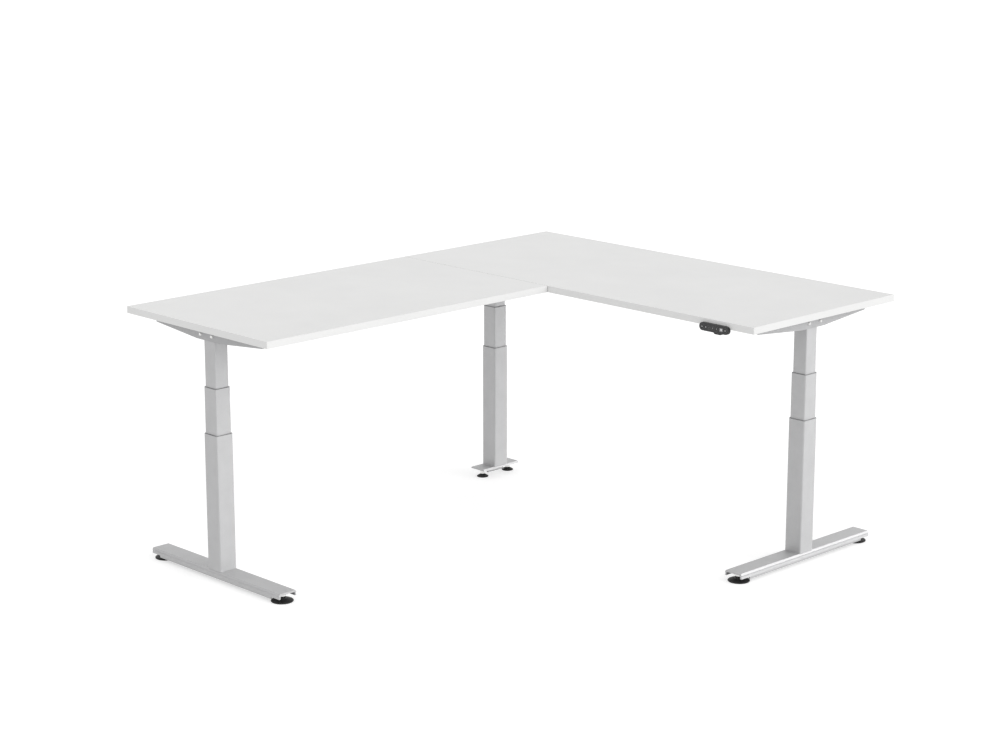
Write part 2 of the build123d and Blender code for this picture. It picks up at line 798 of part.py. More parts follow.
def build_control_box():
    """A moulded box with its sockets along one side, hung from a steel cover plate with two ears."""
    x, y = box_centre()
    top = underside - box_cover_thickness
    bottom = underside - box_height
    body = Pos(x, y, 0) * slab(RectangleRounded(box_length, box_width, box_radius), bottom, top)
    body = chamfer(body.faces().sort_by(Axis.Z)[0].edges(), box_bevel)
    back = y + box_width / 2
    level = (top + bottom) / 2
    width, height = box_socket_size
    for n in range(box_socket_count):
        centre = x - box_length / 2 + box_socket_first + n * box_socket_pitch
        body -= block(
            centre - width / 2, centre + width / 2, back - box_socket_depth, back,
            level - height / 2, level + height / 2,
        )
    centre = x + box_length / 2 - inlet_end_inset
    wide, high = inlet_size
    seat = block(
        centre - wide / 2, centre + wide / 2, back - inlet_depth - inlet_wall, back,
        level - high / 2, level + high / 2,
    )
    body -= seat
    shell = seat - block(
        centre - wide / 2 + inlet_wall, centre + wide / 2 - inlet_wall, back - inlet_depth, back,
        level - high / 2 + inlet_wall, level + high / 2 - inlet_wall,
    )
    blade, length, tall = inlet_pin
    for n in (-1, 0, 1):
        spot = centre + n * inlet_pin_pitch
        shell += block(
            spot - blade / 2, spot + blade / 2, back - inlet_depth, back - inlet_depth + length,
            level - tall / 2, level + tall / 2,
        )
    reach = box_length / 2 + box_cover_ear
    cover = Pos(x, y, 0) * slab(RectangleRounded(2 * reach, box_width, box_radius), top, underside)
    cover -= holes_near(x, y, reach)
    return {"control_box": body, "control_box_cover": cover, "power_inlet": shell}


# ================================================================ handset

def pill(length, height, y0, y1):
    """A plate with half-round ends, standing in XZ, between two depths."""
    x, _ = handset_centre()
    plate = extrude(Plane.XZ * SlotOverall(length, height), -(y1 - y0))
    return Pos(x, y0, handset_level) * plate


def key_outline(name):
    """A key's outline in the handset's own XZ plane and its place along the handset."""
    end = (handset_length - handset_height) / 2
    if name == "key_up":
        return Circle(arrow_key_diameter / 2), -end
    if name == "key_down":
        return Circle(arrow_key_diameter / 2), end
    return RectangleRounded(*memory_key_size, memory_key_radius), memory_key_places[int(name[-1]) - 1]


KEYS = ("key_up", "key_down", "memory_key_1", "memory_key_2", "memory_key_3")


def key_prism(name, grow, y0, y1):
    x, _ = handset_centre()
    outline, along = key_outline(name)
    face = offset(outline, grow) if grow else outline
    return Pos(x + along, y0, handset_level) * extrude(Plane.XZ * face, -(y1 - y0))


def build_handset():
    """A pill-shaped panel at the worktop's edge, on a body that is screwed up under the worktop."""
    x, shell_front = handset_centre()
    face_front = shell_front - handset_face_thickness
    shell_back = shell_front + handset_shell_depth
    shell = pill(handset_length, handset_height, shell_front, shell_back)
    body = block(
        x - handset_body_length / 2, x + handset_body_length / 2,
        shell_back - handset_shell_depth / 2, seam_y + handset_body_depth,
        handset_body_top - handset_body_height, handset_body_top,
    )
    body = fillet(body.edges().filter_by(Axis.Z), handset_body_radius)
    lobe = Pos(
        x + handset_lobe_offset, shell_front + handset_lobe_setback, handset_level - handset_height / 2
    ) * extrude(Plane.XZ * SlotOverall(handset_lobe_width, 2 * handset_lobe_height), -handset_lobe_depth)
    rim = 2 * handset_rim
    pocket = pill(
        handset_length - rim, handset_height - rim, shell_front, shell_front + handset_pocket_depth
    )
    housing = shell + body + lobe - pocket
    housing -= holes_near(x, seam_y + handset_body_depth / 2, handset_body_length)
    face = pill(handset_length, handset_height, face_front, shell_front)
    face = chamfer(face.faces().sort_by(Axis.Y)[0].edges(), handset_face_bevel)
    parts = {}
    for name in KEYS:
        face -= key_prism(name, key_gap, face_front, shell_front)
        start = face_front - key_proud
        cap = key_prism(name, 0, start, start + key_length)
        cap = chamfer(cap.faces().sort_by(Axis.Y)[0].edges(), key_bevel)
        flange_start = shell_front + running_gap
        parts[name] = cap + key_prism(name, key_flange, flange_start, flange_start + key_flange_thickness)
    wide, high = display_size
    light_x = x + status_light_place
    window = block(
        x + display_place - wide / 2, x + display_place + wide / 2, face_front,
        shell_front + handset_pocket_depth, handset_level - high / 2, handset_level + high / 2,
    )
    face -= block(
        x + display_place - wide / 2 - key_gap, x + display_place + wide / 2 + key_gap, face_front,
        shell_front, handset_level - high / 2 - key_gap, handset_level + high / 2 + key_gap,
    )
    light = rod_along_y(
        status_light_diameter / 2, face_front, shell_front + handset_pocket_depth, light_x, handset_level
    )
    face -= rod_along_y(status_light_diameter / 2 + key_gap, face_front, shell_front, light_x, handset_level)
    parts["handset_housing"] = housing
    parts["handset_face"] = face
    parts["handset_display"] = Compound(children=[window, light])
    return parts


# ================================================================ write the parts

def build_all():
    parts = {}
    for group in (build_worktops, build_frame, build_columns, build_feet, build_control_box, build_handset):
        parts.update(group())
    return parts


os.makedirs("parts", exist_ok=True)
for node, shape in build_all().items():
    export_step(shape, f"parts/{node}.step")
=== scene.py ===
import math

import bmesh
import bpy
from mathutils import Matrix, Vector


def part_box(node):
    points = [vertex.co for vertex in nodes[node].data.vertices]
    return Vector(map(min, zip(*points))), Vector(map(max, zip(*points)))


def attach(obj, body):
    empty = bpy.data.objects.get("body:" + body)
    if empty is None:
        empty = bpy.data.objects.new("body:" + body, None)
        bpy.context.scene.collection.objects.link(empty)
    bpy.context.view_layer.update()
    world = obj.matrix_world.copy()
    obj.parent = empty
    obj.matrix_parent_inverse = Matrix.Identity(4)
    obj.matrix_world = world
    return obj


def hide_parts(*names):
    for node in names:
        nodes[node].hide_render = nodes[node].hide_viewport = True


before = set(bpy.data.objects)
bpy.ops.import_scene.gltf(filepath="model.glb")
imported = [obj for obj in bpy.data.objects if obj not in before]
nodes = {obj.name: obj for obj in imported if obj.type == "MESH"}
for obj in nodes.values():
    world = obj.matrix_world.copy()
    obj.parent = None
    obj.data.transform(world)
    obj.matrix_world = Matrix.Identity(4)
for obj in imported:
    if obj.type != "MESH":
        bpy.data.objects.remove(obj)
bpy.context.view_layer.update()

# ---------------------------------------------------------------- studio
# A plain white floor that the desk stands on, wide enough to fill every view. It is painted matt, and
# what the camera sees of it is lifted to white while the soft shadows round the feet stay. From below it
# is clear, so that the desk's underside can be looked at.
FLOOR_HALF = 70.0
FLOOR_BELOW = 0.0002
FLOOR_MATT = 0.80
FLOOR_SEEN = 0.60
FLOOR_LIFT = 0.55


def new_piece(name, mesh_maker, material=None):
    """Makes a mesh object at the origin from a bmesh."""
    mesh = bpy.data.meshes.new(name)
    mesh_maker.to_mesh(mesh)
    mesh_maker.free()
    piece = bpy.data.objects.new(name, mesh)
    bpy.context.scene.collection.objects.link(piece)
    if material:
        mesh.materials.append(material)
    return piece


def link(material, from_node, output, to_node, socket):
    material.node_tree.links.new(from_node.outputs[output], to_node.inputs[socket])


def sight(material):
    """One where the camera, a gloss or a clear part looks straight at a surface, and nought elsewhere."""
    tree = material.node_tree
    rays = tree.nodes.new("ShaderNodeLightPath")
    camera_or_gloss = tree.nodes.new("ShaderNodeMath")
    camera_or_gloss.operation = "MAXIMUM"
    any_sight = tree.nodes.new("ShaderNodeMath")
    any_sight.operation = "MAXIMUM"
    link(material, rays, "Is Camera Ray", camera_or_gloss, 0)
    link(material, rays, "Is Glossy Ray", camera_or_gloss, 1)
    link(material, camera_or_gloss, 0, any_sight, 0)
    link(material, rays, "Is Transmission Ray", any_sight, 1)
    return any_sight


sheet = bmesh.new()
bmesh.ops.create_grid(sheet, x_segments=1, y_segments=1, size=FLOOR_HALF)
bmesh.ops.translate(sheet, verts=sheet.verts, vec=(0, 0, -FLOOR_BELOW))
floor = new_piece("studio_floor", sheet)

floor_paint = bpy.data.materials.new("studio_floor_paint")
floor_paint.use_nodes = True
floor_tree = floor_paint.node_tree
floor_tree.nodes.clear()
matt = floor_tree.nodes.new("ShaderNodeBsdfDiffuse")
matt.inputs["Color"].default_value = (FLOOR_MATT, FLOOR_MATT, FLOOR_MATT, 1)
seen = floor_tree.nodes.new("ShaderNodeBsdfDiffuse")
seen.inputs["Color"].default_value = (FLOOR_SEEN, FLOOR_SEEN, FLOOR_SEEN, 1)
lift = floor_tree.nodes.new("ShaderNodeEmission")
lift.inputs["Color"].default_value = (1, 1, 1, 1)
lift.inputs["Strength"].default_value = FLOOR_LIFT
both = floor_tree.nodes.new("ShaderNodeAddShader")
choice = floor_tree.nodes.new("ShaderNodeMixShader")
clear = floor_tree.nodes.new("ShaderNodeBsdfTransparent")
side = floor_tree.nodes.new("ShaderNodeNewGeometry")
from_below = floor_tree.nodes.new("ShaderNodeMixShader")
floor_out = floor_tree.nodes.new("ShaderNodeOutputMaterial")
link(floor_paint, seen, "BSDF", both, 0)
link(floor_paint, lift, "Emission", both, 1)
link(floor_paint, sight(floor_paint), 0, choice, "Fac")
link(floor_paint, matt, "BSDF", choice, 1)
link(floor_paint, both, "Shader", choice, 2)
link(floor_paint, side, "Backfacing", from_below, "Fac")
link(floor_paint, choice, "Shader", from_below, 1)
link(floor_paint, clear, "BSDF", from_below, 2)
link(floor_paint, from_below, "Shader", floor_out, "Surface")
floor.data.materials.append(floor_paint)

# Soft light from all round, as from a white tent, with white beyond the floor wherever the camera, a
# gloss or a clear part looks.
TENT_GLOW = 0.85
world = bpy.data.worlds.new("studio_tent")
bpy.context.scene.world = world
world.use_nodes = True
tent = world.node_tree
tent.nodes.clear()
glow = tent.nodes.new("ShaderNodeBackground")
glow.inputs["Color"].default_value = (1, 1, 1, 1)
glow.inputs["Strength"].default_value = TENT_GLOW
white = tent.nodes.new("ShaderNodeBackground")
white.inputs["Color"].default_value = (1, 1, 1, 1)
white.inputs["Strength"].default_value = 1.0
tent_mix = tent.nodes.new("ShaderNodeMixShader")
tent_out = tent.nodes.new("ShaderNodeOutputWorld")
link(world, sight(world), 0, tent_mix, "Fac")
link(world, glow, "Background", tent_mix, 1)
link(world, white, "Background", tent_mix, 2)
link(world, tent_mix, "Shader", tent_out, "Surface")

# One broad lamp low on the right, so that the two sides of a column differ, and a broader one near it
# that shows only as a gloss on the silver parts.
LAMP_POWER = 1.15
LAMP_SPREAD = 50
LAMP_FROM = Vector((0.85, 0.35, 0.42))
CARD_POWER = 2.9
CARD_SPREAD = 90
CARD_FROM = Vector((0.68, 0.64, 0.36))


def far_lamp(name, power, spread, source):
    """A lamp so far off that only its direction and its breadth count."""
    data = bpy.data.lights.new(name, "SUN")
    data.energy = power
    data.angle = math.radians(spread)
    lamp = bpy.data.objects.new(name, data)
    lamp.rotation_euler = source.to_track_quat("Z", "Y").to_euler()
    bpy.context.scene.collection.objects.link(lamp)
    return lamp


broad_lamp = far_lamp("broad_lamp", LAMP_POWER, LAMP_SPREAD, LAMP_FROM)
broad_lamp.visible_glossy = False
gloss_card = far_lamp("gloss_card", CARD_POWER, CARD_SPREAD, CARD_FROM)
gloss_card.visible_diffuse = False
silver_parts = bpy.data.collections.new("silver_parts")
gloss_card.light_linking.receiver_collection = silver_parts

# The camera stands off the open quarter of the desk and looks down on it.
SENSOR_WIDTH = 36.0
CAMERA_PLACE = (6.0205, -5.9295, 2.7403)
CAMERA_LENS = 85.60
CAMERA_DOWN = 13.829
CAMERA_YAW = 45.803
camera_data = bpy.data.cameras.new("camera")
camera_data.sensor_width = SENSOR_WIDTH
camera_data.lens = CAMERA_LENS
camera = bpy.data.objects.new("camera", camera_data)
camera.location = CAMERA_PLACE
camera.rotation_euler = (math.radians(90 - CAMERA_DOWN), 0, math.radians(CAMERA_YAW))
bpy.context.scene.collection.objects.link(camera)
bpy.context.scene.camera = camera
bpy.context.scene.view_settings.view_transform = "Standard"

# ---------------------------------------------------------------- worktops
# Two particle boards faced with white melamine, butted together and carried by the frame below.
# The press plate leaves a fine pearl in the film, and the paper under it is never quite even.
MELAMINE = ((0.745, 0.745, 0.740), (0.726, 0.726, 0.722))
MELAMINE_PEARL = 0.0012
MELAMINE_PEARL_HEIGHT = 0.00004
NOISE_LOW = 0.3
NOISE_HIGH = 0.7
PATCH_DETAIL = 3.0


def finish(name, colour, roughness, metallic=0.0, specular=0.5):
    """A surface finish whose constants sit on the shader's own sockets."""
    material = bpy.data.materials.new(name)
    material.use_nodes = True
    shader = material.node_tree.nodes["Principled BSDF"]
    shader.inputs["Base Color"].default_value = (*colour, 1)
    shader.inputs["Roughness"].default_value = roughness
    shader.inputs["Metallic"].default_value = metallic
    shader.inputs["Specular IOR Level"].default_value = specular
    return material


def noise_on(material, grain, detail=2.0, stretch=(1, 1, 1)):
    """Noise on the object's own coordinates, with grains of a given size in metres."""
    tree = material.node_tree
    where = tree.nodes.new("ShaderNodeTexCoord")
    turn = tree.nodes.new("ShaderNodeMapping")
    turn.inputs["Scale"].default_value = stretch
    noise = tree.nodes.new("ShaderNodeTexNoise")
    noise.inputs["Scale"].default_value = 1 / grain
    noise.inputs["Detail"].default_value = detail
    link(material, where, "Object", turn, "Vector")
    link(material, turn, "Vector", noise, "Vector")
    return noise


def skin(material, grain, height, detail=2.0, stretch=(1, 1, 1)):
    """Raises a fine skin on a finish, of a given height in metres."""
    tree = material.node_tree
    shader = tree.nodes["Principled BSDF"]
    bump = tree.nodes.new("ShaderNodeBump")
    bump.inputs["Distance"].default_value = height
    link(material, noise_on(material, grain, detail, stretch), "Fac", bump, "Height")
    if shader.inputs["Normal"].links:
        coarser = shader.inputs["Normal"].links[0].from_node
        link(material, coarser, "Normal", bump, "Normal")
    link(material, bump, "Normal", shader, "Normal")


def mottle(material, light, dark, patch, detail=PATCH_DETAIL):
    """Varies a finish's colour softly between two tones over patches of a given size."""
    tree = material.node_tree
    tones = tree.nodes.new("ShaderNodeValToRGB")
    tones.color_ramp.elements[0].position = NOISE_LOW
    tones.color_ramp.elements[0].color = (*dark, 1)
    tones.color_ramp.elements[1].position = NOISE_HIGH
    tones.color_ramp.elements[1].color = (*light, 1)
    link(material, noise_on(material, patch, detail), "Fac", tones, "Fac")
    link(material, tones, "Color", tree.nodes["Principled BSDF"], "Base Color")


def polish(material, low, high, patch, stretch=(1, 1, 1)):
    """Varies a finish's roughness over patches of a given size."""
    tree = material.node_tree
    span = tree.nodes.new("ShaderNodeMapRange")
    span.inputs["From Min"].default_value = NOISE_LOW
    span.inputs["From Max"].default_value = NOISE_HIGH
    span.inputs["To Min"].default_value = low
    span.inputs["To Max"].default_value = high
    link(material, noise_on(material, patch, PATCH_DETAIL, stretch), "Fac", span, "Value")
    link(material, span, "Result", tree.nodes["Principled BSDF"], "Roughness")


def dress(material, *names):
    """Gives CAD nodes a finish."""
    for name in names:
        mesh = nodes[name].data
        mesh.materials.clear()
        mesh.materials.append(material)


melamine = finish("white_melamine", MELAMINE[0], 0.42, specular=0.4)
mottle(melamine, *MELAMINE, 0.30)
polish(melamine, 0.38, 0.46, 0.12)
skin(melamine, 0.22, 0.0006, 1.0)
skin(melamine, MELAMINE_PEARL, MELAMINE_PEARL_HEIGHT)
dress(melamine, "main_worktop", "extension_worktop")

# ---------------------------------------------------------------- edge bands
# White plastic strip, glued round each board and trimmed to a small round on both arrises. The
# trimmer leaves it a little smoother than the film, and the glue shows as a hairline beside it.
# The band's white is set a little lighter than the melamine's: partly the strip's own tone, partly painted
# light that brightens the boards' sides.
BAND = ((0.805, 0.805, 0.80), (0.785, 0.785, 0.78))
BAND_THICKNESS = 0.002
GLUE_WIDTH = 0.00025
GLUE_PROUD = 0.00001
GLUE_DEEP = 0.0004
band_plastic = finish("white_edge", BAND[0], 0.36, specular=0.4)
mottle(band_plastic, *BAND, 0.25)
polish(band_plastic, 0.32, 0.42, 0.06)
skin(band_plastic, 0.0009, 0.00002)
dress(band_plastic, "main_edge_band", "extension_edge_band")


def thicken(shape, height):
    """Makes a closed solid of a flat shape, raised by a height from where it lies."""
    raised = bmesh.ops.extrude_face_region(shape, geom=shape.faces[:], use_keep_orig=True)
    top = [part for part in raised["geom"] if isinstance(part, bmesh.types.BMVert)]
    bmesh.ops.translate(shape, verts=top, vec=(0, 0, height))
    bmesh.ops.recalc_face_normals(shape, faces=shape.faces)


def frame_strip(x0, x1, y0, y1, z, width):
    """A flat rectangular ring, drawn inwards from its outer edge."""
    ring = bmesh.new()
    bmesh.ops.create_grid(ring, x_segments=1, y_segments=1, size=0.5)
    bmesh.ops.scale(ring, verts=ring.verts, vec=(x1 - x0, y1 - y0, 1))
    bmesh.ops.translate(ring, verts=ring.verts, vec=((x0 + x1) / 2, (y0 + y1) / 2, z))
    inner = bmesh.ops.inset_region(
        ring, faces=ring.faces[:], thickness=width, use_boundary=True, use_even_offset=True
    )
    inside = [face for face in ring.faces if face not in inner["faces"]]
    bmesh.ops.delete(ring, geom=inside, context="FACES")
    return ring


glue = finish("edge_glue", (0.50, 0.50, 0.485), 0.5)
mottle(glue, (0.53, 0.53, 0.515), (0.46, 0.46, 0.445), 0.02)
for board in ("main", "extension"):
    low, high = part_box(f"{board}_edge_band")
    line = frame_strip(
        low[0] + BAND_THICKNESS, high[0] - BAND_THICKNESS, low[1] + BAND_THICKNESS, high[1] - BAND_THICKNESS,
        high[2] + GLUE_PROUD - GLUE_DEEP, GLUE_WIDTH,
    )
    thicken(line, GLUE_DEEP)
    glue_line = new_piece(f"{board}_glue_line", line, glue)
    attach(glue_line, "desktop")

# A thin grey strip with a rounded top lies in the joint between the two boards: painted shade, a fine dark
# line standing for the shadow in the gap between their bands.
SEAM_WIDTH = 0.0011
SEAM_DEEP = 0.0012
SEAM_ROUND = 0.0003
# Painted shade: the dark tone of the joint's gap.
seam_shade_paint = finish("seam_shadow", (0.30, 0.30, 0.29), 0.7)
mottle(seam_shade_paint, (0.33, 0.33, 0.32), (0.26, 0.26, 0.25), 0.01)
main_band_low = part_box("main_edge_band")[0]
extension_low, extension_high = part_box("extension_edge_band")
seam_length = extension_high[0] - extension_low[0] - 2 * BAND_THICKNESS
seam_size = (seam_length, SEAM_WIDTH, SEAM_DEEP)
joint = bmesh.new()
bmesh.ops.create_cube(joint, size=1, matrix=Matrix.Diagonal((*seam_size, 1)))
crest = [edge for edge in joint.edges if all(v.co.z > 0 for v in edge.verts)]
bmesh.ops.bevel(
    joint, geom=crest, offset=SEAM_ROUND, offset_type="OFFSET", segments=3, profile=0.5, material=-1,
    affect="EDGES",
)
bmesh.ops.translate(joint, verts=joint.verts, vec=(
    (extension_low[0] + extension_high[0]) / 2,
    (main_band_low[1] + extension_high[1]) / 2,
    extension_high[2] - SEAM_DEEP / 2,
))
seam_line = new_piece("worktop_seam_shade", joint, seam_shade_paint)
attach(seam_line, "desktop")

# ---------------------------------------------------------------- brackets and rails
# Folded sheet channels over the columns with tube rails between them, all in silver powder coat: a metallic
# powder that flows out to a fine orange peel. The brackets, rails and welds take a darker copy of the
# columns' coat, which is painted shade from the worktop above them.
LEGS = ("right", "left", "corner")
SILVER = ((0.51, 0.51, 0.515), (0.485, 0.485, 0.49))
# The columns' silver made darker: painted shade under the worktop, for the brackets, rails and welds.
FRAME_SILVER_SHADED = ((0.43, 0.43, 0.435), (0.41, 0.41, 0.415))
ORANGE_PEEL = 0.0022
ORANGE_PEEL_HEIGHT = 0.00006
FLAKE = 0.00035
FLAKE_HEIGHT = 0.000012


def silver_coat(name, tones):
    """Silver powder coat: part of the light comes back from the metal flake, with an orange-peel skin."""
    coat = finish(name, tones[0], 0.53, metallic=0.55)
    mottle(coat, *tones, 0.05)
    polish(coat, 0.48, 0.58, 0.004)
    skin(coat, ORANGE_PEEL, ORANGE_PEEL_HEIGHT)
    skin(coat, FLAKE, FLAKE_HEIGHT)
    return coat


def coat_silver(coat, *names):
    """Gives CAD nodes a silver coat, in which the gloss card shows."""
    dress(coat, *names)
    for name in names:
        silver_parts.objects.link(nodes[name])


frame_silver_shaded = silver_coat("silver_frame_coat_shaded", FRAME_SILVER_SHADED)
coat_silver(frame_silver_shaded, "main_rails", "extension_rails", *[f"{leg}_bracket" for leg in LEGS])

# The flanges are welded round the rails' ends. Each bead is a row of overlapping ripples, painted over
# with the rail.
BEAD_RADIUS = 0.0021
BEAD_PITCH = 0.0022
BEAD_FLAT = 0.8
RAIL_WIDTH = 0.025
RAIL_DEPTH = 0.032
RAIL_OFFSET = 0.074
FLANGE_THICKNESS = 0.003
EDGE_KEEP = 0.0008


def stamp(target, shape, matrix):
    """Adds a copy of one bmesh to another, moved by a matrix."""
    mesh = bpy.data.meshes.new("stamp")
    shape.to_mesh(mesh)
    mesh.transform(matrix)
    target.from_mesh(mesh)
    bpy.data.meshes.remove(mesh)


def middle(node):
    """The middle of a node's box."""
    low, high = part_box(node)
    return (Vector(low) + Vector(high)) / 2


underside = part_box("main_rails")[1][2]
ripple = bmesh.new()
bmesh.ops.create_icosphere(ripple, subdivisions=1, radius=BEAD_RADIUS)
for face in ripple.faces:
    face.smooth = True


def bead_round(target, place, out):
    """One rail end's bead, down one side, across below and up the other; out points along the rail."""
    side, deep = RAIL_WIDTH / 2, RAIL_DEPTH - EDGE_KEEP
    across = Vector((-out[1], out[0], 0))
    for leg_of_bead, start, step, count in (
        (0, across * side, Vector((0, 0, -1)), int(deep / BEAD_PITCH)),
        (1, across * -side, Vector((0, 0, -1)), int(deep / BEAD_PITCH)),
        (2, across * -side + Vector((0, 0, -RAIL_DEPTH + EDGE_KEEP)), across, int(RAIL_WIDTH / BEAD_PITCH)),
    ):
        for n in range(count + 1):
            spot = place + start + step * (BEAD_PITCH * n + EDGE_KEEP)
            spot += Vector((0, 0, -BEAD_RADIUS if leg_of_bead < 2 else BEAD_RADIUS / 2))
            stamp(target, ripple, Matrix.Translation(spot) @ Matrix.Diagonal((1, 1, BEAD_FLAT, 1)))


welds = bmesh.new()
leg_spot = {leg: middle(f"{leg}_inner_tube") for leg in LEGS}
main_low, main_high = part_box("main_rails")
ext_low, ext_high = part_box("extension_rails")
for side in (-1, 1):
    y = leg_spot["right"].y + side * RAIL_OFFSET
    bead_round(welds, Vector((main_low[0] + FLANGE_THICKNESS, y, underside)), (1, 0))
    bead_round(welds, Vector((main_high[0] - FLANGE_THICKNESS, y, underside)), (-1, 0))
    x = leg_spot["left"].x + side * RAIL_OFFSET
    bead_round(welds, Vector((x, ext_low[1] + FLANGE_THICKNESS, underside)), (0, 1))
    bead_round(welds, Vector((x, ext_high[1] - FLANGE_THICKNESS, underside)), (0, -1))
ripple.free()
rail_welds = new_piece("rail_welds", welds, frame_silver_shaded)
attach(rail_welds, "desktop")

# ---------------------------------------------------------------- bolts
# Zinc-plated flange bolts: two from each side hold a bracket on its column's head, and two hold each
# rail flange. Forged heads with a chamfered crown, a washer face and a rolled thread.
BOLT_PLACES = (-0.022, 0.042)
BOLT_DROP = 0.019
RAIL_BOLT_OFFSET = 0.0175
RAIL_BOLT_DROP = 0.016
SHEET = 0.0025
M6 = {"shank": 0.0030, "flats": 0.010, "head": 0.0040, "washer": 0.0062, "pitch": 0.0010}
M5 = {"shank": 0.0025, "flats": 0.008, "head": 0.0030, "washer": 0.0050, "pitch": 0.0008}
WASHER_FACE = 0.0008
CROWN = 0.0006
THREAD_DEPTH = 0.4      # both as shares of the pitch
BOLT_TIP = 0.6
MERGE = 1e-6
COLUMN_BOLT_REACH = SHEET + 0.012
RAIL_BOLT_REACH = FLANGE_THICKNESS + SHEET
FOOT_BOLT_REACH = 0.014
zinc = finish("zinc_plated_steel", (0.76, 0.76, 0.75), 0.32, metallic=1.0)
mottle(zinc, (0.80, 0.80, 0.79), (0.70, 0.70, 0.69), 0.004)
polish(zinc, 0.22, 0.36, 0.002)
skin(zinc, 0.0005, 0.000008)


def turned(profile, segments=32):
    """A solid of revolution about Z from a profile of (radius, height) points."""
    shape = bmesh.new()
    points = [shape.verts.new((radius, 0, height)) for radius, height in profile]
    edges = [shape.edges.new(pair) for pair in zip(points, points[1:])]
    bmesh.ops.spin(
        shape, geom=points + edges, cent=(0, 0, 0), axis=(0, 0, 1), angle=math.tau, steps=segments,
        use_merge=True, use_duplicate=False,
    )
    bmesh.ops.remove_doubles(shape, verts=shape.verts, dist=MERGE)
    bmesh.ops.recalc_face_normals(shape, faces=shape.faces)
    return shape


def thread(radius, depth, pitch, start, end):
    """The profile of a thread's ridges between two heights."""
    points = []
    for n in range(int((end - start) / pitch)):
        points += [(radius - depth, start + n * pitch), (radius, start + (n + 0.5) * pitch)]
    return points + [(radius - depth, end)]


def hex_bolt(size, reach):
    """A flange bolt along +Z: its seat at Z = 0, its shank above and its head below."""
    bolt = bmesh.new()
    corner = size["flats"] / math.sqrt(3)
    bmesh.ops.create_cone(
        bolt, cap_ends=True, segments=6, radius1=corner, radius2=corner, depth=size["head"] - WASHER_FACE
    )
    bmesh.ops.translate(bolt, verts=bolt.verts, vec=(0, 0, -(size["head"] + WASHER_FACE) / 2))
    crown = [edge for edge in bolt.edges if all(v.co.z < -size["head"] + CROWN for v in edge.verts)]
    bmesh.ops.bevel(
        bolt, geom=crown, offset=CROWN, offset_type="OFFSET", segments=2, profile=0.5, material=-1,
        affect="EDGES",
    )
    washer = turned([
        (0, -WASHER_FACE), (size["washer"] - WASHER_FACE / 2, -WASHER_FACE),
        (size["washer"], -WASHER_FACE / 3), (size["washer"], 0), (size["shank"], 0),
        *thread(size["shank"], size["pitch"] * THREAD_DEPTH, size["pitch"], WASHER_FACE, reach - WASHER_FACE),
        (size["shank"] - size["pitch"] * BOLT_TIP, reach), (0, reach),
    ], 20)
    stamp(bolt, washer, Matrix.Identity(4))
    washer.free()
    return bolt


def driven(spot, along):
    """The place of a bolt whose shank points along a direction."""
    return Matrix.Translation(spot) @ Vector(along).to_track_quat("Z", "Y").to_matrix().to_4x4()


bolts = bmesh.new()
column_bolt = hex_bolt(M6, COLUMN_BOLT_REACH)
rail_bolt = hex_bolt(M5, RAIL_BOLT_REACH)
OWN_X = {"right": Vector((0, 1, 0)), "left": Vector((-1, 0, 0)), "corner": Vector((0, 1, 0))}
for leg in LEGS:
    low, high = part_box(f"{leg}_bracket")
    own_x = OWN_X[leg]
    own_y = Vector((-own_x.y, own_x.x, 0))
    half = abs((Vector(high) - Vector(low)).dot(own_y)) / 2
    for along in BOLT_PLACES:
        for side in (-1, 1):
            spot = Vector((leg_spot[leg].x, leg_spot[leg].y, underside - BOLT_DROP))
            stamp(bolts, column_bolt, driven(spot + own_x * along + own_y * side * half, -own_y * side))
for side in (-1, 1):
    for bolt_side in (-1, 1):
        off = side * RAIL_OFFSET + bolt_side * RAIL_BOLT_OFFSET
        level = underside - RAIL_BOLT_DROP
        y = leg_spot["right"].y + off
        stamp(bolts, rail_bolt, driven((main_low[0] + FLANGE_THICKNESS, y, level), (-1, 0, 0)))
        stamp(bolts, rail_bolt, driven((main_high[0] - FLANGE_THICKNESS, y, level), (1, 0, 0)))
        x = leg_spot["left"].x + off
        stamp(bolts, rail_bolt, driven((x, ext_low[1] + FLANGE_THICKNESS, level), (0, -1, 0)))
        stamp(bolts, rail_bolt, driven((x, ext_high[1] - FLANGE_THICKNESS, level), (0, 1, 0)))
column_bolt.free()
rail_bolt.free()
frame_bolts = new_piece("frame_flange_bolts", bolts, zinc)
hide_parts("frame_bolts")
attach(frame_bolts, "desktop")

# ---------------------------------------------------------------- joining plates and chipboard screws
# Two galvanised plates bridge the seam below, and pan-head screws hold them, the brackets, the control box
# and the handset up against the boards. A dark cross on each head is painted shade, standing for the shadow
# in its recess.
SCREW_HEAD = 0.0045
SCREW_HEAD_HEIGHT = 0.003
SCREW_SHANK = 0.0024
SCREW_PAN = ((0.45, 0.0004), (0.8, 0.0010), (1.0, 0.0022))  # shares of the head's radius, and heights
SCREW_CORE = 0.7
SCREW_THREAD_DEPTH = 0.0008
SCREW_THREAD_PITCH = 0.0022
SCREW_NECK = 0.001
SCREW_POINT = 0.003
SCREW_TURN = 0.7
CROSS = (0.0050, 0.0011, 0.0018)
CROSS_LEVEL = 0.0012
galvanised = finish("galvanised_sheet", (0.60, 0.60, 0.60), 0.40, metallic=0.9)
mottle(galvanised, (0.66, 0.66, 0.66), (0.50, 0.50, 0.51), 0.006, 1.0)
polish(galvanised, 0.30, 0.50, 0.006)
dress(galvanised, "joining_plates", "control_box_cover", "base_plates")


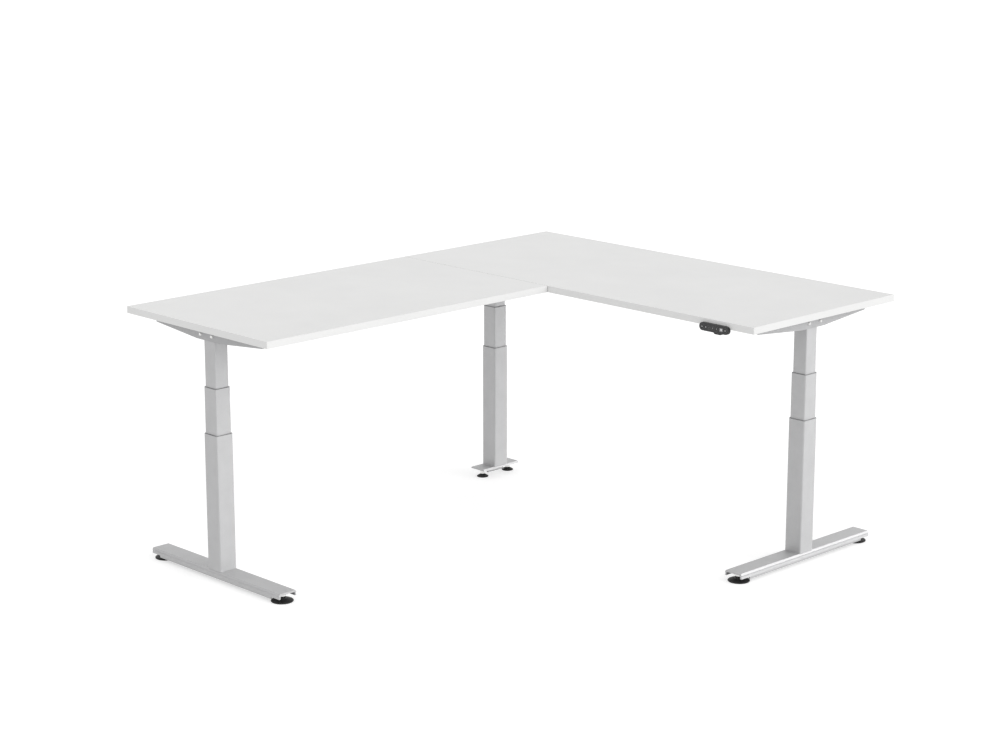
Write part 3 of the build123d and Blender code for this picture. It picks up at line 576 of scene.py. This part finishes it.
def islands(node):
    """The boxes of the separate solids in a CAD node."""
    shape = bmesh.new()
    shape.from_mesh(nodes[node].data)
    bmesh.ops.remove_doubles(shape, verts=shape.verts, dist=MERGE)
    boxes, seen_verts = [], set()
    for first in shape.verts:
        if first in seen_verts:
            continue
        seen_verts.add(first)
        queue, found = [first], []
        while queue:
            vert = queue.pop()
            found.append(vert.co.copy())
            for edge in vert.link_edges:
                other = edge.other_vert(vert)
                if other not in seen_verts:
                    seen_verts.add(other)
                    queue.append(other)
        boxes.append((
            Vector([min(co[k] for co in found) for k in range(3)]),
            Vector([max(co[k] for co in found) for k in range(3)]),
        ))
    shape.free()
    return boxes


screw_boxes = islands("wood_screws")
head = turned([
    (0, SCREW_PAN[0][1]), *[(SCREW_HEAD * share, height) for share, height in SCREW_PAN],
    (SCREW_HEAD, SCREW_HEAD_HEIGHT), (0, SCREW_HEAD_HEIGHT),
], 24)
# Painted shade: near black for the shadow inside each screw's cross recess.
dark = finish("screw_recess", (0.05, 0.05, 0.05), 0.6)
mottle(dark, (0.06, 0.06, 0.06), (0.03, 0.03, 0.03), 0.002)
heads, crosses = bmesh.new(), bmesh.new()
for number, (low, high) in enumerate(screw_boxes):
    spot = Vector(((low.x + high.x) / 2, (low.y + high.y) / 2, low.z))
    turn = Matrix.Rotation(number * SCREW_TURN, 4, "Z")
    shank = turned([
        (0, SCREW_HEAD_HEIGHT), (SCREW_SHANK * SCREW_CORE, SCREW_HEAD_HEIGHT),
        *thread(
            SCREW_SHANK, SCREW_THREAD_DEPTH, SCREW_THREAD_PITCH, SCREW_HEAD_HEIGHT + SCREW_NECK,
            high.z - low.z - SCREW_POINT,
        ),
        (0, high.z - low.z),
    ], 12)
    stamp(heads, head, Matrix.Translation(spot) @ turn)
    stamp(heads, shank, Matrix.Translation(spot))
    shank.free()
    for quarter in (0, 1):
        slot_cut = bmesh.new()
        bmesh.ops.create_cube(slot_cut, size=1, matrix=Matrix.Diagonal((*CROSS, 1)))
        bar_turn = turn @ Matrix.Rotation(quarter * math.pi / 2, 4, "Z")
        stamp(crosses, slot_cut, Matrix.Translation(spot + Vector((0, 0, CROSS_LEVEL))) @ bar_turn)
        slot_cut.free()
head.free()
screws = new_piece("chipboard_screws", heads, zinc)
recesses = new_piece("recess_shade_crosses", crosses, dark)
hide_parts("wood_screws")
for piece in (screws, recesses):
    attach(piece, "desktop")

# ---------------------------------------------------------------- lifting columns
# Three telescoping square steel tubes in the same silver coat, with grey acetal guides between them,
# and the turning screws and the drive units inside.
silver = silver_coat("silver_powder_coat", SILVER)
coat_silver(silver, *[f"{leg}_{part}_tube" for leg in LEGS for part in ("outer", "middle", "inner")])
guide = finish("guide_plastic", (0.20, 0.20, 0.205), 0.5)
mottle(guide, (0.22, 0.22, 0.225), (0.18, 0.18, 0.185), 0.01)
skin(guide, 0.0008, 0.00003)
dress(guide, "outer_guides", "inner_guides", *[f"{leg}_middle_guides" for leg in LEGS])
steel = finish("spindle_steel", (0.45, 0.45, 0.46), 0.3, metallic=1.0)
mottle(steel, (0.50, 0.50, 0.50), (0.36, 0.35, 0.33), 0.01)
skin(steel, 0.002, 0.0003, stretch=(0.1, 0.1, 1))
dress(steel, "lift_screws", *[f"{leg}_{part}" for leg in LEGS for part in ("hollow_screw", "drive_rod")])
acetal = finish("nut_plastic", (0.70, 0.69, 0.62), 0.45)
mottle(acetal, (0.72, 0.71, 0.64), (0.66, 0.65, 0.58), 0.008)
skin(acetal, 0.0008, 0.00003)
dress(acetal, "lift_nuts")
casting = finish("motor_casting", (0.09, 0.09, 0.095), 0.5, metallic=0.6)
mottle(casting, (0.11, 0.11, 0.115), (0.07, 0.07, 0.075), 0.006)
skin(casting, 0.0011, 0.00012)
dress(casting, *[f"{leg}_motor" for leg in LEGS])

# ---------------------------------------------------------------- feet
# T-feet cut from an aluminium extrusion and coated like the columns, with a short plate foot under the
# corner column, held by bolts from below.
coat_silver(silver, *[f"{leg}_foot" for leg in LEGS])
foot_bolts = bmesh.new()
foot_bolt = hex_bolt(M6, FOOT_BOLT_REACH)
for low, high in islands("foot_bolts"):
    spot = Vector(((low.x + high.x) / 2, (low.y + high.y) / 2, low.z + M6["head"]))
    stamp(foot_bolts, foot_bolt, Matrix.Translation(spot))
foot_bolt.free()
foot_flange_bolts = new_piece("foot_flange_bolts", foot_bolts, zinc)
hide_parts("foot_bolts")
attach(foot_flange_bolts, "feet")

# ---------------------------------------------------------------- levelling glides
# Black moulded discs with fine grip flutes round the rim and a domed top, each on a zinc-plated
# threaded stud that screws up into its socket. The corner foot has a smaller and steeper kind.
GLIDES = {
    "t": {"rim": 0.004, "dome": 0.009, "hub": 0.013, "hub_top": 0.0175, "flutes": 60},
    "corner": {"rim": 0.003, "dome": 0.0108, "hub": 0.009, "hub_top": 0.0115, "flutes": 40},
}
RIM_BELOW = ((0.0022, 0), (0.0004, 0.0008), (0, 0.0018))         # in from the edge, and up
RIM_ABOVE = ((0, -0.0006), (0.0008, 0.0004), (0.0022, 0.0009))   # in from the edge, and up from the rim
DOME_FALL = ((0.55, 0.68), (0.25, 0.86))    # way out from the hub, and share of the dome's height
DOME_TOP = 0.97
HUB_FOOT = (0.0012, 0.0008)                 # the hollow where the hub rises from the dome
HUB_EDGE = (0.0008, 0.0010)                 # the bevel round the hub's top
FLUTE_BAND = 0.0012
FLUTE_DEPTH = 0.0006
SMOOTH_SLOPE = 0.2
SMOOTH_INSET = 0.002
STUD_RADIUS = 0.004
STUD_PITCH = 0.00125
STUD_THREAD_DEPTH = 0.0006
STUD_CORE = 0.85
STUD_TIP = 0.7
STUD_END = 0.001
glide_plastic = finish("glide_black", (0.020, 0.020, 0.020), 0.55, specular=0.35)
mottle(glide_plastic, (0.023, 0.023, 0.023), (0.017, 0.017, 0.017), 0.006)
polish(glide_plastic, 0.50, 0.62, 0.003)
skin(glide_plastic, 0.0006, 0.00004)
dress(zinc, "glide_sockets")


def glide_disc(radius, rim, dome, hub, hub_top, flutes):
    """A domed disc with a hub, its rim fluted by pulling in every second row of points."""
    disc = turned([
        (0, 0),
        *[(radius - inset, rise) for inset, rise in RIM_BELOW],
        *[(radius - inset, rim + rise) for inset, rise in RIM_ABOVE],
        *[(hub + (radius - hub) * way, dome * share) for way, share in DOME_FALL],
        (hub + HUB_FOOT[0], dome * DOME_TOP), (hub, dome + HUB_FOOT[1]),
        (hub, hub_top - HUB_EDGE[1]), (hub - HUB_EDGE[0], hub_top), (0, hub_top),
    ], flutes * 2)
    step = math.tau / flutes
    for vert in disc.verts:
        reach = math.hypot(vert.co.x, vert.co.y)
        if reach > radius - FLUTE_BAND and round(math.atan2(vert.co.y, vert.co.x) / (step / 2)) % 2:
            vert.co.xy = vert.co.xy * ((reach - FLUTE_DEPTH) / reach)
    for face in disc.faces:
        on_dome = face.calc_center_median().xy.length < radius - SMOOTH_INSET
        face.smooth = abs(face.normal.z) > SMOOTH_SLOPE and on_dome
    return disc


for leg in LEGS:
    kind = GLIDES["corner" if leg == "corner" else "t"]
    for end in ("front", "back"):
        node = f"{leg}_{end}_glide"
        low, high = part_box(node)
        centre = Matrix.Translation((middle(node).x, middle(node).y, 0))
        disc = glide_disc((high[0] - low[0]) / 2, **kind)
        stud_start = kind["hub_top"]
        stud = turned([
            (0, stud_start - STUD_END), (STUD_RADIUS * STUD_CORE, stud_start - STUD_END),
            *thread(STUD_RADIUS, STUD_THREAD_DEPTH, STUD_PITCH, stud_start, high[2] - STUD_END),
            (STUD_RADIUS * STUD_TIP, high[2]), (0, high[2]),
        ], 24)
        for name, shape, material, slot in (
            (f"{leg}_{end}_glide_disc", disc, glide_plastic, "glide_black"),
            (f"{leg}_{end}_glide_stud", stud, zinc, "zinc_plated_steel"),
        ):
            bmesh.ops.transform(shape, matrix=centre, verts=shape.verts)
            piece = new_piece(name, shape, material)
            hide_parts(node)
            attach(piece, f"{leg}_{end}_leveller")

# ---------------------------------------------------------------- control box
# A black moulded case under the main worktop, with cooling ribs along its lower face and gilt contacts
# in its four sockets.
box_plastic = finish("box_black", (0.030, 0.030, 0.030), 0.5)
mottle(box_plastic, (0.034, 0.034, 0.034), (0.026, 0.026, 0.026), 0.01)
skin(box_plastic, 0.0007, 0.00008)
dress(box_plastic, "control_box", "power_inlet")
RIB_COUNT = 15
RIB = (0.0022, 0.066, 0.0012)
RIB_PITCH = 0.0055
RIB_ROUND = 0.0004
RIB_SUNK = 0.0002
CONTACT = (0.0005, 0.0060, 0.0004)
CONTACT_INSET = 0.0045
CONTACT_COUNT = 8
CONTACT_PITCH = 0.0013
SOCKET_FIRST = 0.050
SOCKET_PITCH = 0.024
SOCKET_COUNT = 4
SOCKET_HALF_HEIGHT = 0.006
box_low, box_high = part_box("control_box")
box_middle = middle("control_box")
ribs = bmesh.new()
for n in range(RIB_COUNT):
    rib = bmesh.new()
    bmesh.ops.create_cube(rib, size=1, matrix=Matrix.Diagonal((*RIB, 1)))
    bmesh.ops.bevel(
        rib, geom=rib.edges[:], offset=RIB_ROUND, offset_type="OFFSET", segments=2, profile=0.5, material=-1,
        affect="EDGES",
    )
    x = box_middle.x + (n - (RIB_COUNT - 1) / 2) * RIB_PITCH
    stamp(ribs, rib, Matrix.Translation((x, box_middle.y, box_low[2] - RIB[2] / 2 + RIB_SUNK)))
    rib.free()
cooling_ribs = new_piece("control_box_ribs", ribs, box_plastic)
gilt = finish("gilt_contact", (0.80, 0.60, 0.25), 0.25, metallic=1.0)
mottle(gilt, (0.82, 0.63, 0.28), (0.75, 0.54, 0.20), 0.002)
contacts = bmesh.new()
for n in range(SOCKET_COUNT):
    for k in range(CONTACT_COUNT):
        x = box_low[0] + SOCKET_FIRST + n * SOCKET_PITCH + (k - (CONTACT_COUNT - 1) / 2) * CONTACT_PITCH
        spot = (x, box_high[1] - CONTACT_INSET, box_middle.z + SOCKET_HALF_HEIGHT - CONTACT[2] / 2)
        blade = bmesh.new()
        bmesh.ops.create_cube(blade, size=1, matrix=Matrix.Diagonal((*CONTACT, 1)))
        stamp(contacts, blade, Matrix.Translation(spot))
        blade.free()
socket_contacts = new_piece("socket_contacts", contacts, gilt)
for piece, slot in ((cooling_ribs, "box_black"), (socket_contacts, "zinc_plated_steel")):
    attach(piece, "desktop")

# ---------------------------------------------------------------- handset
# A pill-shaped black panel under the front edge: a satin overlay with five keys in moulded rims, pale
# printed marks, a small height display and a white status light.
handset_plastic = finish("handset_black", (0.026, 0.026, 0.026), 0.52, specular=0.4)
mottle(handset_plastic, (0.029, 0.029, 0.029), (0.023, 0.023, 0.023), 0.01)
skin(handset_plastic, 0.0005, 0.00003)
face_plastic = finish("handset_face_black", (0.034, 0.034, 0.035), 0.40, specular=0.4)
mottle(face_plastic, (0.038, 0.038, 0.039), (0.030, 0.030, 0.031), 0.008)
skin(face_plastic, 0.0003, 0.000006)
key_plastic = finish("key_black", (0.028, 0.028, 0.028), 0.46, specular=0.4)
mottle(key_plastic, (0.031, 0.031, 0.031), (0.025, 0.025, 0.025), 0.004)
skin(key_plastic, 0.0004, 0.00001)
window = finish("display_grey", (0.30, 0.30, 0.305), 0.12)
mottle(window, (0.31, 0.31, 0.315), (0.28, 0.28, 0.285), 0.006)
dress(handset_plastic, "handset_housing")
dress(face_plastic, "handset_face")
ARROW_KEYS = ("key_up", "key_down")
MEMORY_KEYS = ("memory_key_1", "memory_key_2", "memory_key_3")
dress(key_plastic, *ARROW_KEYS, *MEMORY_KEYS)
dress(window, "handset_display")
print_white = finish("printed_mark", (0.62, 0.62, 0.62), 0.5)
mottle(print_white, (0.64, 0.64, 0.64), (0.58, 0.58, 0.58), 0.001)
rim_grey = finish("key_rim", (0.16, 0.16, 0.16), 0.35)
mottle(rim_grey, (0.18, 0.18, 0.18), (0.14, 0.14, 0.14), 0.003)
PRINT_PROUD = 0.00012
ARROW_SIZE = 0.0032
RIM_WIDTH = 0.0006
RIM_PROUD = 0.0004
RIM_GAP = 0.0003
KEY_FLANGE = 0.0008
MEMORY_KEY_CORNER = 0.0030
ROUND_KEEP = 1e-5        # what a full round leaves of a side, so that its corners stay apart
DIGIT_HEIGHT = 0.0055
TYPE_SIZE = 1.4          # the font's size over the height of its figures
FIGURE_MERGE = 1e-7
UPRIGHT = Matrix.Rotation(math.pi / 2, 4, "X")
face_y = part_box("handset_face")[0][1]


def key_mark(name, shape):
    """Lays a printed mark on a key's front face."""
    key_middle = middle(name)
    key_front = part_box(name)[0][1]
    spot = Matrix.Translation((key_middle.x, key_front - PRINT_PROUD / 2, key_middle.z)) @ UPRIGHT
    bmesh.ops.transform(shape, matrix=spot, verts=shape.verts)
    mark = new_piece(f"{name}_mark", shape, print_white)
    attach(mark, name)


def digits(text, height):
    """Figures as a thin solid in the XY plane, centred on the origin."""
    curve = bpy.data.curves.new("figures", "FONT")
    curve.body = text
    curve.size = height * TYPE_SIZE
    curve.align_x = "CENTER"
    curve.align_y = "CENTER"
    curve.extrude = PRINT_PROUD / 2
    holder = bpy.data.objects.new("figures", curve)
    bpy.context.scene.collection.objects.link(holder)
    mesh = bpy.data.meshes.new_from_object(holder)
    shape = bmesh.new()
    shape.from_mesh(mesh)
    bmesh.ops.remove_doubles(shape, verts=shape.verts, dist=FIGURE_MERGE)
    bpy.data.objects.remove(holder)
    bpy.data.curves.remove(curve)
    bpy.data.meshes.remove(mesh)
    return shape


for name, turn in (("key_up", math.pi / 2), ("key_down", -math.pi / 2)):
    arrow = bmesh.new()
    bmesh.ops.create_cone(
        arrow, cap_ends=True, segments=3, radius1=ARROW_SIZE, radius2=ARROW_SIZE, depth=PRINT_PROUD
    )
    pointing = Matrix.Rotation(turn - math.pi / 2, 3, "Z")
    bmesh.ops.rotate(arrow, verts=arrow.verts, cent=(0, 0, 0), matrix=pointing)
    key_mark(name, arrow)
for number, name in enumerate(MEMORY_KEYS, 1):
    key_mark(name, digits(str(number), DIGIT_HEIGHT))

rims = bmesh.new()
for name in ARROW_KEYS + MEMORY_KEYS:
    low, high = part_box(name)
    opening = high[0] - low[0] - 2 * KEY_FLANGE + 2 * RIM_GAP
    half = opening / 2 + RIM_WIDTH
    ring = bmesh.new()
    bmesh.ops.create_grid(ring, x_segments=1, y_segments=1, size=half)
    corner = half - ROUND_KEEP if name in ARROW_KEYS else MEMORY_KEY_CORNER + RIM_WIDTH
    bmesh.ops.bevel(
        ring, geom=ring.verts[:], offset=corner, offset_type="OFFSET", segments=10, profile=0.5, material=-1,
        affect="VERTICES",
    )
    outline = bmesh.ops.inset_region(
        ring, faces=ring.faces[:], thickness=RIM_WIDTH, use_boundary=True, use_even_offset=True
    )
    hole = [face for face in ring.faces if face not in outline["faces"]]
    bmesh.ops.delete(ring, geom=hole, context="FACES")
    thicken(ring, RIM_PROUD)
    spot = Matrix.Translation((middle(name).x, face_y, middle(name).z)) @ UPRIGHT
    stamp(rims, ring, spot)
    ring.free()
key_rims = new_piece("key_rims", rims, rim_grey)
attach(key_rims, "desktop")

# The display shows the height in centimetres, and the status light has a small domed lens over it.
SHOWN_HEIGHT = "94"
SHOWN_SIZE = 0.0062
LENS_RADIUS = 0.0015
LENS_BULGE = 0.0006
LENS_SHAPE = ((0, 1), (0.45, 0.9), (0.8, 0.55), (1, 0))     # shares of the radius and of the bulge
FIGURE_GLOW = 0.35
status_box, window_box = sorted(islands("handset_display"), key=lambda box: box[0].x)
lit = finish("display_figures", (0.75, 0.75, 0.76), 0.4)
lit.node_tree.nodes["Principled BSDF"].inputs["Emission Color"].default_value = (1, 1, 1, 1)
lit.node_tree.nodes["Principled BSDF"].inputs["Emission Strength"].default_value = FIGURE_GLOW
mottle(lit, (0.78, 0.78, 0.79), (0.70, 0.70, 0.71), 0.002)
window_middle = (window_box[0] + window_box[1]) / 2
figures = digits(SHOWN_HEIGHT, SHOWN_SIZE)
figures_place = Vector((window_middle.x, window_box[0].y - PRINT_PROUD / 2, window_middle.z))
bmesh.ops.transform(figures, matrix=Matrix.Translation(figures_place) @ UPRIGHT, verts=figures.verts)
display_figures = new_piece("display_figures", figures, lit)
light_middle = (status_box[0] + status_box[1]) / 2
lens_cap = turned([
    *[(LENS_RADIUS * share, LENS_BULGE * rise) for share, rise in LENS_SHAPE],
    (LENS_RADIUS, -LENS_BULGE / 2), (0, -LENS_BULGE / 2),
], 24)
for face in lens_cap.faces:
    face.smooth = True
lens_place = Vector((light_middle.x, status_box[0].y, light_middle.z))
bmesh.ops.transform(lens_cap, matrix=Matrix.Translation(lens_place) @ UPRIGHT, verts=lens_cap.verts)
status_lens = new_piece("status_lens", lens_cap, lit)
for piece in (display_figures, status_lens):
    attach(piece, "desktop")
